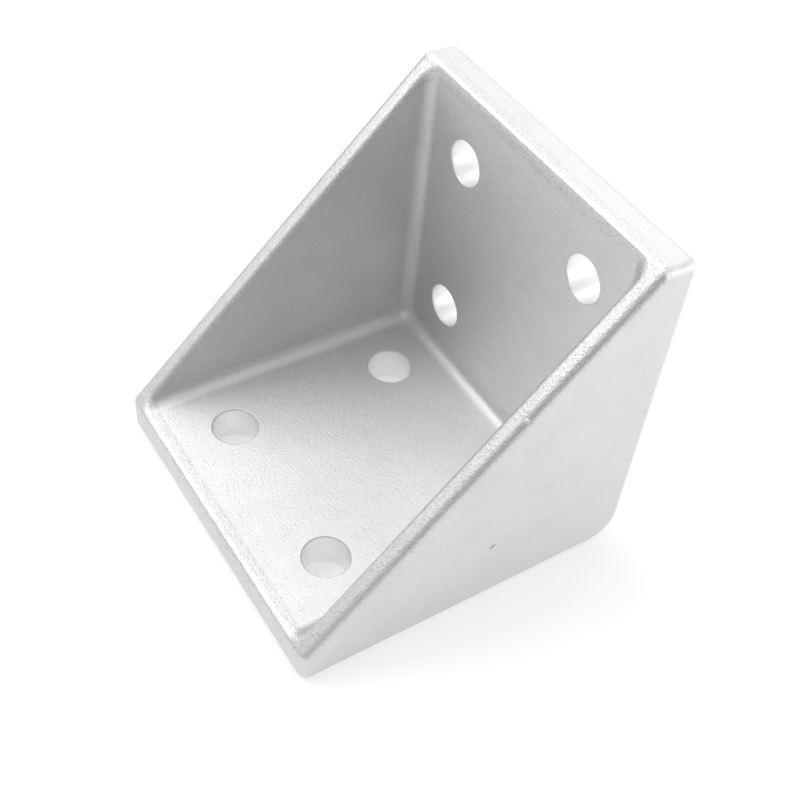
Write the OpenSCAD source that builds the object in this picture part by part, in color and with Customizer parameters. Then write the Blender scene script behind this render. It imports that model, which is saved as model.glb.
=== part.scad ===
// Cast corner bracket for T-slot framing: two drilled flanges at a right angle,
// joined by two sloping webs that leave a deep open pocket between them.
// +Z is up. The origin is the middle of the base flange's underside, the upright
// flange stands at the +Y end, and the webs close the -X and +X sides.

/* [Overall size] */
// Length of each flange, from the outside of the heel to the tip
leg = 78; // [72:1:120]
// Width across the outside of the two webs
width = 78; // [70:1:120]

/* [Walls] */
// Thickness of the base flange and of the upright flange
flange_t = 8.5; // [6:0.5:10]
// Thickness of each web at the open rim
web_t = 4.4; // [3.6:0.2:6]
// How far the plane of the rims lies below the inner edge of a flange's end
rim_drop = 0.5; // [0.25:0.25:1.5]
// Draft of each web's inner face, in degrees, which lets the casting leave its mould
web_draft = 1.5; // [0.5:0.25:3]

/* [Bolt holes] */
// Diameter of the bolt holes
hole_d = 10; // [8.5:0.5:11]
// Distance between the two holes of a row, which is the spacing of the slots
hole_pitch = 40; // [30:1:48]
// Distance between the two rows of a flange
row_pitch = 40; // [30:1:48]
// Distance from the outside of the heel to the inner row
heel_to_row = 22; // [18:0.5:26]

/* [Edges] */
// Radius on the outside of the heel
heel_r = 7; // [3:0.5:8]
// Radius in all corners of the pocket
pocket_r = 3; // [1:0.25:4]
// Radius on the outer edge of each sloping rim
rim_r = 1.75; // [1:0.25:2.5]
// Radius on the inner edge of each sloping rim, where the pocket opens
mouth_r = 1.4; // [0.6:0.2:2]
// Radius on the remaining outer edges
edge_r = 2; // [0.5:0.25:2.5]

/* [Hidden] */
$fn = 64;

// Overlap that carries a cut clear of a face, and an added piece into the wall behind it
over = 1;
// Half of the pocket's width at the open rim, its edges taken as sharp
rim_half = width / 2 - web_t;
// Height of a flange's end face, where the plane of the rims meets it
end_h = flange_t - rim_drop;
// Length of the slope from one end face to the other
slope_len = (leg - end_h) * sqrt(2);
// Depth of the pocket, square to the plane of the rims
pocket_depth = (leg - flange_t - rim_drop) / sqrt(2);
// The draft as it is seen on a flange, which meets the slope at 45 degrees
flange_draft = atan(tan(web_draft) / sqrt(2));
// Lean of the web against a line square to the flange, seen along the corner between them
web_lean = atan(sin(flange_draft));

// The modules below are drawn from the heel: Y runs from the heel's outer face at 0
// to the base's tip at -leg, and Z from the underside at 0 to the upright's tip at leg.

// Repeats what is drawn for the base flange on the upright flange
module both_flanges() {
    children();
    mirror([0, 1, 1]) children();
}

// Repeats what is drawn for the +X web on the -X web
module both_webs() {
    children();
    mirror([1, 0, 0]) children();
}

// Waste outside a rounded square corner, whose tip is at the origin
module corner_waste(r) {
    difference() {
        translate([-r, -r]) square(r + over);
        translate([-r, -r]) circle(r);
    }
}

// Side view of the bracket, seen along X
module side_profile() {
    difference() {
        polygon([
            [-leg, 0], [0, 0], [0, leg],
            [-end_h, leg], [-leg, end_h]
        ]);
        rotate(-90) corner_waste(heel_r);
        translate([0, leg]) corner_waste(edge_r);
        translate([-leg, 0]) rotate(180) corner_waste(edge_r);
    }
}

module solid_wedge() {
    rotate([90, 0, 90]) linear_extrude(width, center = true) side_profile();
}

// Rounds the outer edge of the sloping rim
module rim_waste() {
    translate([width / 2, -leg, end_h]) rotate([45, 0, 0]) rotate([90, 0, 0])
        translate([0, 0, -slope_len - leg / 2]) linear_extrude(slope_len + leg)
            corner_waste(rim_r);
}

// Rounds the base's side edge, from its tip to where the heel's curve starts
module side_edge_waste() {
    translate([width / 2, -heel_r, 0])
        rotate([90, 0, 0]) linear_extrude(leg)
            rotate(-90) corner_waste(edge_r);
}

// Rounds the side edge around the heel
module heel_edge_waste() {
    translate([width / 2, -heel_r, heel_r])
        rotate([0, 90, 0]) rotate_extrude(angle = 90)
            translate([heel_r, 0]) corner_waste(edge_r);
}

// Rounds the short upright edge of the base's end
module end_edge_waste() {
    translate([width / 2, -leg, -over]) linear_extrude(end_h + 2 * over)
        rotate(-90) corner_waste(edge_r);
}

// Section of the fillet in a corner whose second wall leans outwards by an angle.
// The corner is the origin, the first wall runs along -X and the second one up Y.
// The section reaches behind the first wall by over, and behind the second by back.
module fillet_section(r, lean = 0, back = over) {
    centre = [-r * (1 - sin(lean)) / cos(lean), r];
    touch = centre + r * [cos(lean), -sin(lean)];
    difference() {
        polygon([
            [centre.x, -over], [back, -over], [touch.x + back, touch.y],
            touch, centre, [centre.x, 0]
        ]);
        translate(centre) circle(r);
    }
}

// Section of the pocket square to the slope, X across it and Y into its depth.
// The drafted webs are its sides, and it widens over a rounded edge at the mouth.
module pocket_section() {
    rise = leg * tan(web_draft);
    fall = pocket_depth * tan(web_draft);
    polygon([
        [-rim_half - rise, -leg], [rim_half + rise, -leg],
        [rim_half - fall, pocket_depth], [-rim_half + fall, pocket_depth]
    ]);
    for (side = [0, 1])
        mirror([side, 0]) translate([rim_half, 0])
            mirror([1, 0]) fillet_section(mouth_r, web_draft);
}

// The pocket before its corners are filled: the drafted section between the two flanges
module sharp_pocket() {
    intersection() {
        translate([-width, -flange_t - 2 * leg, flange_t]) cube([2 * width, 2 * leg, 2 * leg]);
        translate([0, -leg, end_h]) rotate([45, 0, 0]) rotate([-90, 0, 0])
            translate([0, 0, -leg]) linear_extrude(slope_len + 2 * leg) pocket_section();
    }
}

// Fillet between the base and the web, which also ends the mouth's rounded edge
module web_fillet() {
    translate([rim_half, -leg + rim_drop, flange_t])
        rotate([90, 0, flange_draft])
            translate([0, 0, -leg]) linear_extrude(2 * leg)
                fillet_section(pocket_r, web_lean, mouth_r + over);
}

// Fillet between the base and the upright
module heel_fillet() {
    translate([0, -flange_t, flange_t])
        rotate([90, 0, 90]) linear_extrude(width, center = true)
            fillet_section(pocket_r);
}

module pocket() {
    difference() {
        sharp_pocket();
        heel_fillet();
        both_webs() both_flanges() web_fillet();
    }
}

// The four bolt holes of the base flange
module bolt_holes() {
    for (x = [-1, 1] * hole_pitch / 2, row = [0, 1] * row_pitch)
        translate([x, -heel_to_row - row, -over])
            cylinder(h = flange_t + 2 * over, d = hole_d);
}

module corner_bracket() {
    color("silver") translate([0, leg / 2, 0]) difference() {
        solid_wedge();
        pocket();
        both_flanges() bolt_holes();
        both_webs() {
            rim_waste();
            heel_edge_waste();
            both_flanges() {
                side_edge_waste();
                end_edge_waste();
            }
        }
    }
}

corner_bracket();
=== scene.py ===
from math import acos, cos, pi, radians, sin, sqrt, tan

import bmesh
import bpy
from mathutils import Matrix, Vector


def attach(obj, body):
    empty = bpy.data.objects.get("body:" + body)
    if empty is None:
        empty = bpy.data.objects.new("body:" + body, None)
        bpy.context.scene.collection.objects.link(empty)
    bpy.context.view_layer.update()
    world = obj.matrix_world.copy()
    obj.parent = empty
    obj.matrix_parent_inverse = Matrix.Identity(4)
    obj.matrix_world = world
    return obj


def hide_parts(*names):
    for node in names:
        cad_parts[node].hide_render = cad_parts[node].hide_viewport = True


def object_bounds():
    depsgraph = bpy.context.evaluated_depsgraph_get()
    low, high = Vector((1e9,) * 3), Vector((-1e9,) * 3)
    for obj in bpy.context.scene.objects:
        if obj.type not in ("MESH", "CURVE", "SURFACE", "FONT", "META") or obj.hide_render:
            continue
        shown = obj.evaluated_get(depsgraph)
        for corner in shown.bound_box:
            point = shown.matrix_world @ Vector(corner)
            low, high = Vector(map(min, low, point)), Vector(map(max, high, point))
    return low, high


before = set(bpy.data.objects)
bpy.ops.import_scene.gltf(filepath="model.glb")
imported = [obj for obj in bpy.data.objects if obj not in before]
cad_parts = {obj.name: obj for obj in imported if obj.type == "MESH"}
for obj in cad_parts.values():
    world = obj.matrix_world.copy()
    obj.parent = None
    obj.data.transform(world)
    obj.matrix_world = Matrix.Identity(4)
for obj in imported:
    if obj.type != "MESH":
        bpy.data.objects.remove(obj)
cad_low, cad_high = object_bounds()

# Cast corner bracket for T-slot framing. +Z is up, the origin is the middle of the base flange's
# underside, the upright flange stands at the +Y end, and the webs close the -X and +X sides.

MM = 0.001
CASTING = "corner_bracket"

# Overall size, from the frame
WIDTH = cad_high.x - cad_low.x
LEG = cad_high.y - cad_low.y
SIDE = WIDTH / 2
TIP = -LEG / 2
HEEL = LEG / 2

# Walls
FLANGE_T = 8.5 * MM
WEB_T = 4.4 * MM
# How far the plane of the rims lies below the inner edge of a flange's end
RIM_DROP = 0.5 * MM
WEB_DRAFT = radians(1.5)
END_H = FLANGE_T - RIM_DROP
UPRIGHT_INSIDE = HEEL - FLANGE_T
# The plane of the rims: its normal, the line that runs straight up it, and a point on it
SLOPE = Vector((0, -1, 1)).normalized()
UP_SLOPE = Vector((0, 1, 1)).normalized()
RIM_POINT = Vector((0, TIP, END_H))

# Radii of the edges
HEEL_R = 7 * MM
POCKET_R = 3 * MM
RIM_R = 1.75 * MM
MOUTH_R = 1.4 * MM
# On both edges of the narrow strip that joins a flange's inner face to its end
LIP_R = 2 * MM
EDGE_R = 2 * MM

# Steps of the roundings
ARC_STEPS = 8
HEEL_STEPS = 20
POCKET_STEPS = 12
# An edge of the wedge that turns by less only divides a face or a curve
CURVE_TURN = radians(20)
# An edge of the finished bracket that turns by more stays sharp in the shading
SHARP_TURN = radians(32)

# Mouth of the pocket, its edges taken as sharp: half its width, half its length and its middle
MOUTH_HALF = SIDE - WEB_T
MOUTH_REACH = (UPRIGHT_INSIDE - TIP - RIM_DROP) / sqrt(2)
MOUTH_Y = (UPRIGHT_INSIDE + TIP + RIM_DROP) / 2
MOUTH_Z = MOUTH_Y + END_H - TIP
# The flanges meet at a right angle, so the pocket is as deep as half its mouth is long
POCKET_DEPTH = MOUTH_REACH
# Slope at which the mouth's rounding is left to run out into the rims, and how far the waste goes on
MOUTH_FIRST = radians(8)
MOUTH_LIFT = 0.3 * MM
MOUTH_STEPS = 8

# Bolt holes
HOLE_R = 5 * MM
HOLE_EDGE_R = 0.35 * MM
HOLE_PITCH = 40 * MM
ROW_PITCH = 40 * MM
HEEL_TO_ROW = 22 * MM
HOLE_SIDES = 96
# Rounding at the mouth of a hole: its steps, the turn at which it is left, and how far the waste goes on
FLARE_STEPS = 4
FLARE_TURN = radians(75)
FLARE_LIFT = 0.5 * MM

# A length well under every detail, which tells whether a point lies on a plane
NEAR = 0.002 * MM

# The small cast lump on the right rim: its middle, radius, sides and stretch along the rim,
# and how far from its middle the seams beside it lie
LUMP_AT = Vector((38.15, 6.08, 52.38)) * MM
LUMP_R = 0.5 * MM
LUMP_SIDES = 24
LUMP_STRETCH = 1.3
LUMP_CLEAR = 1.2 * MM

# Sizes of the marks in the skin of the casting
GRAIN_SIZE = 0.32 * MM
SPECK_SIZE = 0.38 * MM
PIT_SIZE = 0.55 * MM
COARSE_SIZE = 0.9 * MM
WAVE_SIZE = 4 * MM
BLOTCH_SIZE = 14 * MM

# Colours of the skin: clean and dull metal, a cool tinge, dark marks, rim specks, painted highlight in
# holes
PALE = (0.76, 0.76, 0.755, 1)
DULL = (0.66, 0.658, 0.65, 1)
COOL = (0.70, 0.705, 0.715, 1)
DARK = (0.30, 0.30, 0.295, 1)
SPECK = (0.45, 0.45, 0.445, 1)
# Painted highlight on the holes' walls
HOLE_HIGHLIGHT = (0.93, 0.93, 0.925, 1)

# Heights against the plane of the rims between which their coarser skin fades in
RIM_SKIN = (-2.1 * MM, -1.4 * MM)
# How far outside a hole's wall its painted highlight starts to fade, and where it is gone
BORE_FADE = (0.02 * MM, 0.15 * MM)
# Share of a fleck's half length at which it starts to fade, and where it is gone
FLECK_FADE = (0.6, 1.1)

# Flecks in the skin: place and half length in millimetres, and depth of colour
FLECKS = [
    (Vector((39, 3.53, 16.9)), Vector((1, 0.52, 0.46)), 0.7),
    (Vector((39, 3.99, 17.3)), Vector((1, 0.52, 0.46)), 0.7),
    (Vector((9.2, 30.5, 76.0)), Vector((0.5, 1, 0.4)), 0.35),
    (Vector((38.6, 11.4, 58.4)), Vector((0.35, 0.3, 0.35)), 0.45),
]

# The white floor: its size, how far it lies below the bracket, its shade, and the share of its
# white that a shadow can't darken
FLOOR_SIZE = 6
FLOOR_DROP = 0.02 * MM
PAPER_SHADE = (0.97, 0.97, 0.97, 1)
PAPER_GLOW = 0.45
WHITE = (1, 1, 1, 1)

# Round dark flags: name, heading from +X, rise, distance and radius
FLAGS = [
    ("right_flag", radians(-21), radians(5), 0.45, 0.32),
    ("front_flag", radians(-98), radians(-8), 0.5, 0.31),
    ("left_flag", radians(-168), radians(0), 0.5, 0.23),
    ("high_flag", radians(-65), radians(58), 0.6, 0.2),
]
FLAG_SIDES = 64
FLAG_SHADE = (0.04, 0.04, 0.04, 1)

# Soft lamps: name, heading from +X, rise, distance, radius, and how much they outshine the surround
SOFT_BOXES = [
    ("left_box", radians(-172), radians(60), 0.7, 0.3, 1.5),
    ("front_box", radians(-124), radians(50), 0.7, 0.19, 2.7),
    ("back_box", radians(112), radians(40), 0.7, 0.15, 1.4),
    ("right_box", radians(50), radians(5), 0.7, 0.25, 2.0),
]

# Camera: its place, its turns, its lens, and the distances between which it sees
CAMERA_AT = Vector((149.40, -107.21, 220.80)) * MM
CAMERA_HEADING = radians(52.840)
CAMERA_DOWN = radians(46.745)
CAMERA_ROLL = radians(6.879)
SENSOR = 36.0
LENS = 57.73
NEAREST = 1 * MM
FARTHEST = 20


def lone(piece):
    """Makes a piece the only selected object and the active one."""
    bpy.ops.object.select_all(action="DESELECT")
    piece.select_set(True)
    bpy.context.view_layer.objects.active = piece


def settle(piece):
    """Moves a piece's place, turn and size into its mesh."""
    lone(piece)
    bpy.ops.object.transform_apply(location=True, rotation=True, scale=True)


def pick(piece, kind, test):
    """Selects the verts, edges or faces that pass a test, and nothing else."""
    bpy.ops.mesh.select_all(action="DESELECT")
    mesh = bmesh.from_edit_mesh(piece.data)
    mesh.normal_update()
    for part in getattr(mesh, kind):
        if test(part):
            part.select_set(True)
    bmesh.update_edit_mesh(piece.data)


def both(edge, test):
    """Whether both ends of an edge pass a test."""
    return all(test(vert.co) for vert in edge.verts)


def on_slope(point):
    """Whether a point lies on the plane of the rims."""
    return abs((point - RIM_POINT).dot(SLOPE)) < NEAR


def on_side(point):
    """Whether a point lies on the outer face of a web."""
    return abs(abs(point.x) - SIDE) < NEAR


def cast_wedge():
    """The outer block, cut off by the plane of the rims."""
    bpy.ops.object.select_all(action="DESELECT")
    bpy.ops.mesh.primitive_cube_add(size=1, location=(0, 0, LEG / 2))
    wedge = bpy.context.object
    wedge.name = wedge.data.name = "bracket"
    wedge.scale = (WIDTH, LEG, LEG)
    settle(wedge)
    bpy.ops.object.mode_set(mode="EDIT")
    bpy.ops.mesh.select_all(action="SELECT")
    bpy.ops.mesh.bisect(
        plane_co=RIM_POINT, plane_no=SLOPE, use_fill=True, clear_outer=True, threshold=NEAR)
    bpy.ops.mesh.select_mode(type="EDGE")
    pick(wedge, "edges", lambda e: both(e, lambda point: point.y > HEEL - NEAR and point.z < NEAR))
    bpy.ops.mesh.bevel(offset=HEEL_R, segments=HEEL_STEPS, affect="EDGES", clamp_overlap=False)
    bpy.ops.object.mode_set(mode="OBJECT")
    return wedge


def edge_radius(edge):
    """Radius that an edge of the wedge is rounded to, or 0 where it only divides a face or a curve."""
    if edge.calc_face_angle(0) < CURVE_TURN:
        return 0
    if both(edge, on_slope):
        return RIM_R if both(edge, on_side) else LIP_R
    return EDGE_R


def round_wedge(wedge):
    """Rounds the wedge's edges, each to its own radius."""
    mesh = bmesh.new()
    mesh.from_mesh(wedge.data)
    weight = mesh.edges.layers.float.new("bevel_weight_edge")
    for edge in mesh.edges:
        edge[weight] = edge_radius(edge) * tan(edge.calc_face_angle() / 2) / EDGE_R
    mesh.to_mesh(wedge.data)
    mesh.free()
    lone(wedge)
    bevel = wedge.modifiers.new("edges", "BEVEL")
    bevel.limit_method = "WEIGHT"
    bevel.offset_type = "OFFSET"
    bevel.width = EDGE_R
    bevel.segments = ARC_STEPS
    bevel.use_clamp_overlap = False
    bpy.ops.object.modifier_apply(modifier=bevel.name)


def pocket_tool():
    """The pocket's waste, first drawn mouth up, with the plane of the rims at height 0."""
    bpy.ops.object.select_all(action="DESELECT")
    bpy.ops.mesh.primitive_plane_add(size=1)
    tool = bpy.context.object
    tool.scale = (2 * MOUTH_HALF, 2 * MOUTH_REACH, 1)
    settle(tool)
    bpy.ops.object.mode_set(mode="EDIT")
    bpy.ops.mesh.select_all(action="SELECT")
    # Sinks the mouth to a line along the heel, between drafted webs
    bpy.ops.mesh.extrude_region()
    bpy.ops.transform.translate(value=(0, 0, -POCKET_DEPTH))
    heel_half = MOUTH_HALF - POCKET_DEPTH * tan(WEB_DRAFT)
    bpy.ops.transform.resize(value=(heel_half / MOUTH_HALF, 0, 1), center_override=(0, 0, -POCKET_DEPTH))
    bpy.ops.mesh.select_all(action="SELECT")
    bpy.ops.mesh.remove_doubles(threshold=NEAR)
    bpy.ops.mesh.dissolve_degenerate(threshold=NEAR)
    bpy.ops.mesh.normals_make_consistent(inside=False)
    bpy.ops.mesh.select_mode(type="EDGE")
    pick(tool, "edges", lambda e: not both(e, lambda point: abs(point.z) < NEAR))
    bpy.ops.mesh.bevel(offset=POCKET_R, segments=POCKET_STEPS, affect="EDGES", clamp_overlap=False)
    flare_mouth(tool)
    bpy.ops.object.mode_set(mode="OBJECT")
    tool.rotation_euler = (pi / 4, 0, 0)
    tool.location = (0, MOUTH_Y, MOUTH_Z)
    settle(tool)
    return tool


def arc_growth(radius, wall, depth):
    """How far an edge's rounding stands out from its straight wall at a depth under the rims.
    The wall leans by an angle from the upright, and the growth is measured across the pocket."""
    turn = acos(max(1 - depth / radius, -1))
    if turn > pi / 2 - wall:
        return 0
    centre = radius * tan((pi / 2 - wall) / 2)
    return centre - radius * sin(turn) + depth * tan(wall)


def flare_mouth(tool):
    """Rounds the mouth: level by level, the waste widens over the webs' edges and the flanges' lips."""
    full_turn = pi / 2 - WEB_DRAFT
    turns = [MOUTH_FIRST + (full_turn - MOUTH_FIRST) * k / MOUTH_STEPS for k in range(MOUTH_STEPS)]
    depths = [MOUTH_R * (1 - cos(turn)) for turn in turns + [full_turn]]
    bpy.ops.mesh.select_mode(type="VERT")
    for depth in depths:
        bpy.ops.mesh.select_all(action="SELECT")
        bpy.ops.mesh.bisect(plane_co=(0, 0, -depth), plane_no=(0, 0, 1), threshold=NEAR)
    for depth in depths:
        widen_level(tool, depth)
    # The waste goes on past the rims at the slope where the rounding is left
    widen_level(tool, 0, (MOUTH_LIFT + depths[0]) / tan(MOUTH_FIRST))
    bpy.ops.transform.translate(value=(0, 0, MOUTH_LIFT))


def widen_level(tool, depth, extra=0):
    """Widens the waste at one depth by the growth of each edge's rounding, and by an extra width."""
    pick(tool, "verts", lambda v: abs(v.co.z + depth) < NEAR)
    half = MOUTH_HALF - depth * tan(WEB_DRAFT)
    reach = MOUTH_REACH - depth
    wide = half + arc_growth(MOUTH_R, WEB_DRAFT, depth) + extra
    long = reach + arc_growth(LIP_R, pi / 4, depth) + extra
    bpy.ops.transform.resize(value=(wide / half, long / reach, 1), center_override=(0, 0, -depth))


def hole_cutter():
    """A bolt hole's waste, with a flared mouth at each end and its middle at the origin."""
    bpy.ops.object.select_all(action="DESELECT")
    straight = FLANGE_T - 2 * HOLE_EDGE_R
    bpy.ops.mesh.primitive_cylinder_add(vertices=HOLE_SIDES, radius=HOLE_R, depth=straight)
    cutter = bpy.context.object
    for end in (-1, 1):
        lone(cutter)
        bpy.ops.object.mode_set(mode="EDIT")
        bpy.ops.mesh.select_mode(type="FACE")
        pick(cutter, "faces", lambda f: f.normal.z * end > 0.99)
        radius = HOLE_R
        height = 0
        for step in range(1, FLARE_STEPS + 1):
            turn = FLARE_TURN * step / FLARE_STEPS
            new_radius = HOLE_R + HOLE_EDGE_R * (1 - cos(turn))
            new_height = HOLE_EDGE_R * sin(turn)
            add_step(end * (new_height - height), new_radius / radius)
            radius = new_radius
            height = new_height
        add_step(end * FLARE_LIFT, (radius + FLARE_LIFT * tan(FLARE_TURN)) / radius)
        bpy.ops.object.mode_set(mode="OBJECT")
    return cutter


def add_step(rise, growth):
    """Draws the selected round face out along Z and makes it wider."""
    bpy.ops.mesh.extrude_region()
    bpy.ops.transform.translate(value=(0, 0, rise))
    bpy.ops.transform.resize(value=(growth, growth, 1), center_override=(0, 0, 0))


def drill_holes(bracket):
    """Cuts the two rows of bolt holes in each flange."""
    first = hole_cutter()
    cutters = []
    for side in (-1, 1):
        for row in (0, 1):
            from_heel = HEEL_TO_ROW + row * ROW_PITCH
            x = side * HOLE_PITCH / 2
            base = first.copy()
            base.data = first.data.copy()
            base.location = (x, HEEL - from_heel, FLANGE_T / 2)
            upright = first.copy()
            upright.data = first.data.copy()
            upright.rotation_euler = (pi / 2, 0, 0)
            upright.location = (x, HEEL - FLANGE_T / 2, from_heel)
            cutters += [base, upright]
    bpy.data.objects.remove(first)
    for cutter in cutters:
        bpy.context.collection.objects.link(cutter)
        settle(cutter)
    for cutter in cutters:
        cutter.select_set(True)
    bpy.context.view_layer.objects.active = cutters[0]
    bpy.ops.object.join()
    combine(bracket, cutters[0], "DIFFERENCE")


def combine(bracket, tool, operation):
    """Cuts a tool from the bracket or joins it on, and removes the tool."""
    lone(bracket)
    cut = bracket.modifiers.new("tool", "BOOLEAN")
    cut.operation = operation
    cut.solver = "EXACT"
    cut.object = tool
    bpy.ops.object.modifier_apply(modifier=cut.name)
    bpy.data.objects.remove(tool)


def add_lump(bracket):
    """The small lump that the mould left on the right rim."""
    # A seam on either side keeps the small faces around the lump to a short stretch of the rim
    lone(bracket)
    bpy.ops.object.mode_set(mode="EDIT")
    for side in (-1, 1):
        bpy.ops.mesh.select_all(action="SELECT")
        seam_at = LUMP_AT + side * LUMP_CLEAR * UP_SLOPE
        bpy.ops.mesh.bisect(plane_co=seam_at, plane_no=UP_SLOPE, threshold=NEAR)
    bpy.ops.object.mode_set(mode="OBJECT")
    bpy.ops.object.select_all(action="DESELECT")
    bpy.ops.mesh.primitive_uv_sphere_add(
        segments=LUMP_SIDES, ring_count=LUMP_SIDES // 2, radius=LUMP_R, location=LUMP_AT)
    lump = bpy.context.object
    lump.rotation_euler = (pi / 4, 0, 0)
    lump.scale = (1, LUMP_STRETCH, 1)
    settle(lump)
    combine(bracket, lump, "UNION")


def finish_mesh(bracket):
    """Cleans the bracket's mesh and shades its curves smooth."""
    lone(bracket)
    bpy.ops.object.mode_set(mode="EDIT")
    bpy.ops.mesh.select_all(action="SELECT")
    bpy.ops.mesh.remove_doubles(threshold=NEAR)
    bpy.ops.mesh.dissolve_degenerate(threshold=NEAR)
    bpy.ops.object.mode_set(mode="OBJECT")
    # Many-sided faces become triangles, so that every program fills them alike
    split = bracket.modifiers.new("triangles", "TRIANGULATE")
    split.min_vertices = 5
    bpy.ops.object.modifier_apply(modifier=split.name)
    bpy.ops.object.shade_smooth_by_angle(angle=SHARP_TURN)
    weighted = bracket.modifiers.new("normals", "WEIGHTED_NORMAL")
    weighted.mode = "FACE_AREA"
    weighted.weight = 100
    weighted.keep_sharp = True
    bpy.ops.object.modifier_apply(modifier=weighted.name)


class Value:
    """A socket in a node tree. Arithmetic on it adds the Math nodes that work it out."""

    def __init__(self, nodes, socket):
        self.nodes = nodes
        self.socket = socket

    def maths(self, operation, *terms):
        """Adds one Math node."""
        return self.nodes.add("ShaderNodeMath", {"operation": operation}, dict(enumerate(terms)))

    def __add__(self, other):
        return self.maths("ADD", self, other)

    def __radd__(self, other):
        return self.maths("ADD", other, self)

    def __sub__(self, other):
        return self.maths("SUBTRACT", self, other)

    def __rsub__(self, other):
        return self.maths("SUBTRACT", other, self)

    def __mul__(self, other):
        return self.maths("MULTIPLY", self, other)

    def __rmul__(self, other):
        return self.maths("MULTIPLY", other, self)

    def __pow__(self, other):
        return self.maths("POWER", self, other)

    def __abs__(self):
        return self.maths("ABSOLUTE", self)

    def ramp(self, low, high):
        """0 below low, 1 above high, and a smooth rise between them."""
        return self.nodes.add(
            "ShaderNodeMapRange", {"interpolation_type": "SMOOTHSTEP"},
            {"Value": self, "From Min": low, "From Max": high})


class Nodes:
    """The node tree of a material or of the world."""

    def __init__(self, owner):
        owner.use_nodes = True
        self.tree = owner.node_tree
        self.tree.nodes.clear()

    def add(self, kind, settings=None, sockets=None, out=0):
        """Adds a node: its settings, then the values or links of its sockets. Gives one output."""
        node = self.tree.nodes.new(kind)
        for name, setting in (settings or {}).items():
            setattr(node, name, setting)
        for key, value in (sockets or {}).items():
            socket = self.find(node.inputs, key)
            if isinstance(value, Value):
                self.tree.links.new(value.socket, socket)
            else:
                socket.default_value = value
        return Value(self, self.find(node.outputs, out)) if node.outputs else None

    def find(self, sockets, key):
        """A socket by its name, or by its place among those in use."""
        shown = [socket for socket in sockets if socket.enabled]
        if isinstance(key, int):
            return shown[key]
        return next(socket for socket in shown if socket.name == key)

    def noise(self, place, size, detail=2.0, roughness=0.5):
        """Noise from 0 to 1 whose blotches are about size across."""
        return self.add(
            "ShaderNodeTexNoise", {"normalize": True},
            {"Vector": place, "Scale": 1 / size, "Detail": detail, "Roughness": roughness})

    def blend(self, share, first, second):
        """Mixes two colours, with 0 giving the first and 1 the second."""
        return self.add(
            "ShaderNodeMix", {"data_type": "RGBA"}, {"Factor": share, "A": first, "B": second})


def fleck_mask(nodes, place, centre, half):
    """1 inside an oval spot on the surface and 0 outside it, with a soft edge."""
    offset = nodes.add(
        "ShaderNodeVectorMath", {"operation": "SUBTRACT"}, {0: place, 1: centre * MM})
    stretched = nodes.add(
        "ShaderNodeVectorMath", {"operation": "DIVIDE"}, {0: offset, 1: half * MM})
    distance = nodes.add(
        "ShaderNodeVectorMath", {"operation": "LENGTH"}, {0: stretched})
    return 1 - distance.ramp(*FLECK_FADE)


def bore_mask(nodes, place):
    """1 on the walls of the bolt holes and 0 on the skin around them."""
    x, y, z = [nodes.add("ShaderNodeSeparateXYZ", None, {0: place}, out=axis) for axis in range(3)]
    between_rows = HEEL_TO_ROW + ROW_PITCH / 2
    across = abs(x) - HOLE_PITCH / 2
    along_base = abs(y - (HEEL - between_rows)) - ROW_PITCH / 2
    up_upright = abs(z - between_rows) - ROW_PITCH / 2
    from_base_hole = (across ** 2 + along_base ** 2) ** 0.5
    from_upright_hole = (across ** 2 + up_upright ** 2) ** 0.5
    nearest = x.maths("MINIMUM", from_base_hole, from_upright_hole)
    return 1 - nearest.ramp(HOLE_R + BORE_FADE[0], HOLE_R + BORE_FADE[1])


def cast_aluminium():
    """Bare die-cast aluminium, blasted to an even satin grain."""
    material = bpy.data.materials.new("cast_aluminium")
    nodes = Nodes(material)
    place = nodes.add("ShaderNodeTexCoord", out="Object")

    # Grain of the blasting, clusters of it, the skin's waviness, its faint blotches and small pits
    grain = nodes.noise(place, GRAIN_SIZE, 3.0, 0.6)
    specks = nodes.noise(place, SPECK_SIZE, 1.0)
    coarse = nodes.noise(place, COARSE_SIZE, 2.0)
    wave = nodes.noise(place, WAVE_SIZE, 1.0)
    blotch = nodes.noise(place, BLOTCH_SIZE, 3.0)
    pits = 1 - nodes.noise(place, PIT_SIZE, 1.0).ramp(0.26, 0.36)
    flecks = sum(fleck_mask(nodes, place, centre, half) * depth for centre, half, depth in FLECKS)

    skin = nodes.blend(grain.ramp(0.35, 0.68) * 0.35 + blotch.ramp(0.35, 0.7) * 0.3, PALE, DULL)
    skin = nodes.blend(coarse.ramp(0.45, 0.75) * 0.25, skin, COOL)
    skin = nodes.blend(flecks + pits * 0.16, skin, DARK)
    rough = 0.45 + 0.10 * grain + 0.06 * blotch

    # The rims and their rounded edges keep the coarsest skin
    up_to_rims = nodes.add(
        "ShaderNodeVectorMath", {"operation": "DOT_PRODUCT"}, {0: place, 1: SLOPE}, "Value")
    rim = (up_to_rims - SLOPE.dot(RIM_POINT)).ramp(*RIM_SKIN)
    skin = nodes.blend(rim * specks.ramp(0.5, 0.72) * 0.5, skin, SPECK)
    # The relief, in millimetres
    height = 0.07 * grain + rim * 0.09 * specks + 0.012 * coarse + 0.05 * wave - 0.02 * pits

    # The bolt holes' walls get a painted highlight, paler than the skin, and are smoother than it
    bore = bore_mask(nodes, place)
    skin = nodes.blend(bore, skin, HOLE_HIGHLIGHT)
    rough = rough - bore * 0.10
    height = height * (1 - bore * 0.7)
    bump = nodes.add(
        "ShaderNodeBump", None, {"Strength": 1.0, "Distance": 1 * MM, "Height": height})
    surface = nodes.add("ShaderNodeBsdfPrincipled", None, {
        "Base Color": skin, "Metallic": 1.0, "Roughness": rough, "Normal": bump})
    nodes.add("ShaderNodeOutputMaterial", None, {"Surface": surface})
    return material


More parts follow.
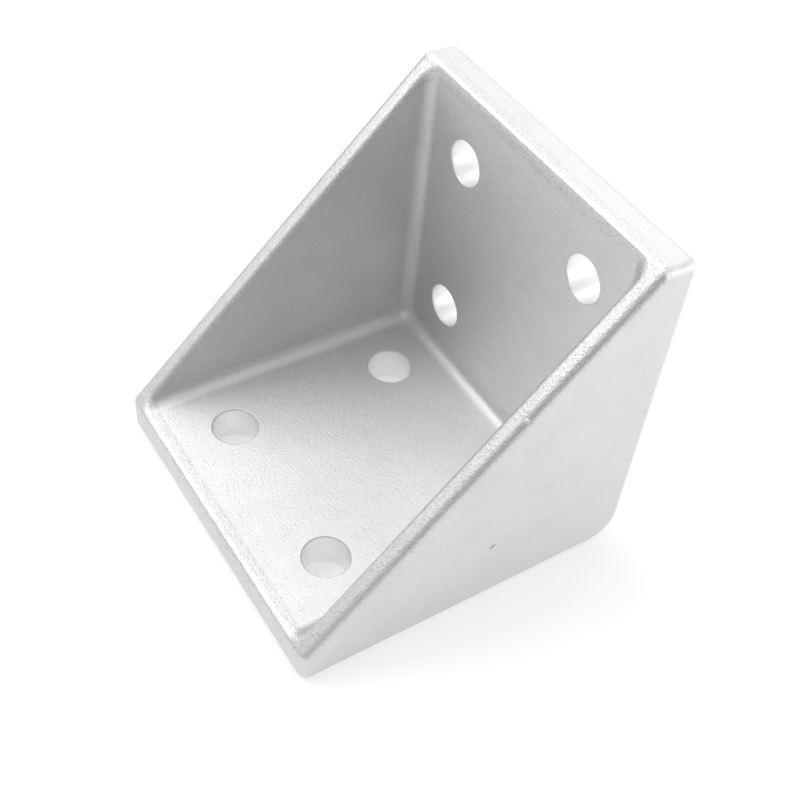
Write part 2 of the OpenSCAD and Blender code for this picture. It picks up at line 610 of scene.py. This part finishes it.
def make_bracket():
    """The bracket, which stands for the cast solid and hides it."""
    bracket = cast_wedge()
    round_wedge(bracket)
    combine(bracket, pocket_tool(), "DIFFERENCE")
    drill_holes(bracket)
    add_lump(bracket)
    finish_mesh(bracket)
    bracket.data.materials.clear()
    bracket.data.materials.append(cast_aluminium())
    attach(bracket, "root")
    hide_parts(CASTING)


def dark_cloth():
    """Dull dark cloth for the flags."""
    material = bpy.data.materials.new("flag_cloth")
    nodes = Nodes(material)
    surface = nodes.add("ShaderNodeBsdfPrincipled", None, {
        "Base Color": FLAG_SHADE, "Roughness": 0.9, "Specular IOR Level": 0.0})
    nodes.add("ShaderNodeOutputMaterial", None, {"Surface": surface})
    return material


def glowing_paper():
    """White paper that is lit through: it takes the bracket's shadow, at less than its full depth."""
    material = bpy.data.materials.new("glowing_paper")
    nodes = Nodes(material)
    lit = nodes.add("ShaderNodeBsdfDiffuse", None, {"Color": PAPER_SHADE})
    glow = nodes.add("ShaderNodeEmission", None, {"Color": WHITE, "Strength": 1.0})
    seen = nodes.add("ShaderNodeLightPath", out="Is Camera Ray")
    mirrored = nodes.add("ShaderNodeLightPath", out="Is Glossy Ray")
    through = nodes.add("ShaderNodeLightPath", out="Is Transmission Ray")
    share = (seen + mirrored + through) * PAPER_GLOW
    surface = nodes.add("ShaderNodeMixShader", None, {0: share, 1: lit, 2: glow})
    nodes.add("ShaderNodeOutputMaterial", None, {"Surface": surface})
    return material


def make_floor():
    """The white floor, a little below the bracket."""
    bpy.ops.object.select_all(action="DESELECT")
    bpy.ops.mesh.primitive_plane_add(size=FLOOR_SIZE, location=(0, 0, -FLOOR_DROP))
    floor = bpy.context.object
    floor.name = "floor"
    floor.data.materials.append(glowing_paper())


def aim(piece, heading, rise, distance):
    """Stands a piece off the bracket's middle, in a direction from +X and up, its -Z side to it."""
    towards = Vector((cos(heading) * cos(rise), sin(heading) * cos(rise), sin(rise)))
    piece.location = Vector((0, 0, LEG / 2)) + towards * distance
    piece.rotation_euler = towards.to_track_quat("Z", "Y").to_euler()


def make_flag(name, heading, rise, distance, radius, material):
    """A round dark flag, which shows in the metal alone and leaves the floor as it is."""
    bpy.ops.object.select_all(action="DESELECT")
    bpy.ops.mesh.primitive_circle_add(vertices=FLAG_SIDES, radius=radius, fill_type="NGON")
    flag = bpy.context.object
    flag.name = name
    aim(flag, heading, rise, distance)
    flag.data.materials.append(material)
    flag.visible_camera = False
    flag.visible_diffuse = False


def soft_box(name, heading, rise, distance, radius, glow):
    """A round soft lamp whose face is brighter than the surround by glow."""
    lamp = bpy.data.lights.new(name, "AREA")
    lamp.shape = "DISK"
    lamp.size = 2 * radius
    lamp.energy = glow * pi * pi * radius ** 2
    box = bpy.data.objects.new(name, lamp)
    bpy.context.collection.objects.link(box)
    aim(box, heading, rise, distance)


def light_scene():
    """A white surround like a light tent, with soft lamps on its four sides."""
    world = bpy.data.worlds.new("surround")
    bpy.context.scene.world = world
    nodes = Nodes(world)
    glow = nodes.add("ShaderNodeBackground", None, {"Color": WHITE, "Strength": 1.0})
    nodes.add("ShaderNodeOutputWorld", None, {"Surface": glow})
    for box in SOFT_BOXES:
        soft_box(*box)


def make_camera():
    """The camera stands where the photograph was taken from, turned a little about its own axis."""
    ahead = Vector((
        -sin(CAMERA_HEADING) * cos(CAMERA_DOWN),
        cos(CAMERA_HEADING) * cos(CAMERA_DOWN),
        -sin(CAMERA_DOWN)))
    level = ahead.cross(Vector((0, 0, 1))).normalized()
    over = level.cross(ahead)
    right = level * cos(CAMERA_ROLL) + over * sin(CAMERA_ROLL)
    up = over * cos(CAMERA_ROLL) - level * sin(CAMERA_ROLL)
    lens = bpy.data.cameras.new("camera")
    lens.sensor_width = SENSOR
    lens.lens = LENS
    lens.clip_start = NEAREST
    lens.clip_end = FARTHEST
    camera = bpy.data.objects.new("camera", lens)
    bpy.context.collection.objects.link(camera)
    turn = Matrix((right, up, -ahead)).transposed().to_4x4()
    camera.matrix_world = Matrix.Translation(CAMERA_AT) @ turn
    bpy.context.scene.camera = camera


make_camera()
light_scene()
make_floor()
cloth = dark_cloth()
for flag in FLAGS:
    make_flag(*flag, cloth)
make_bracket()
bpy.context.scene.view_settings.view_transform = "Standard"
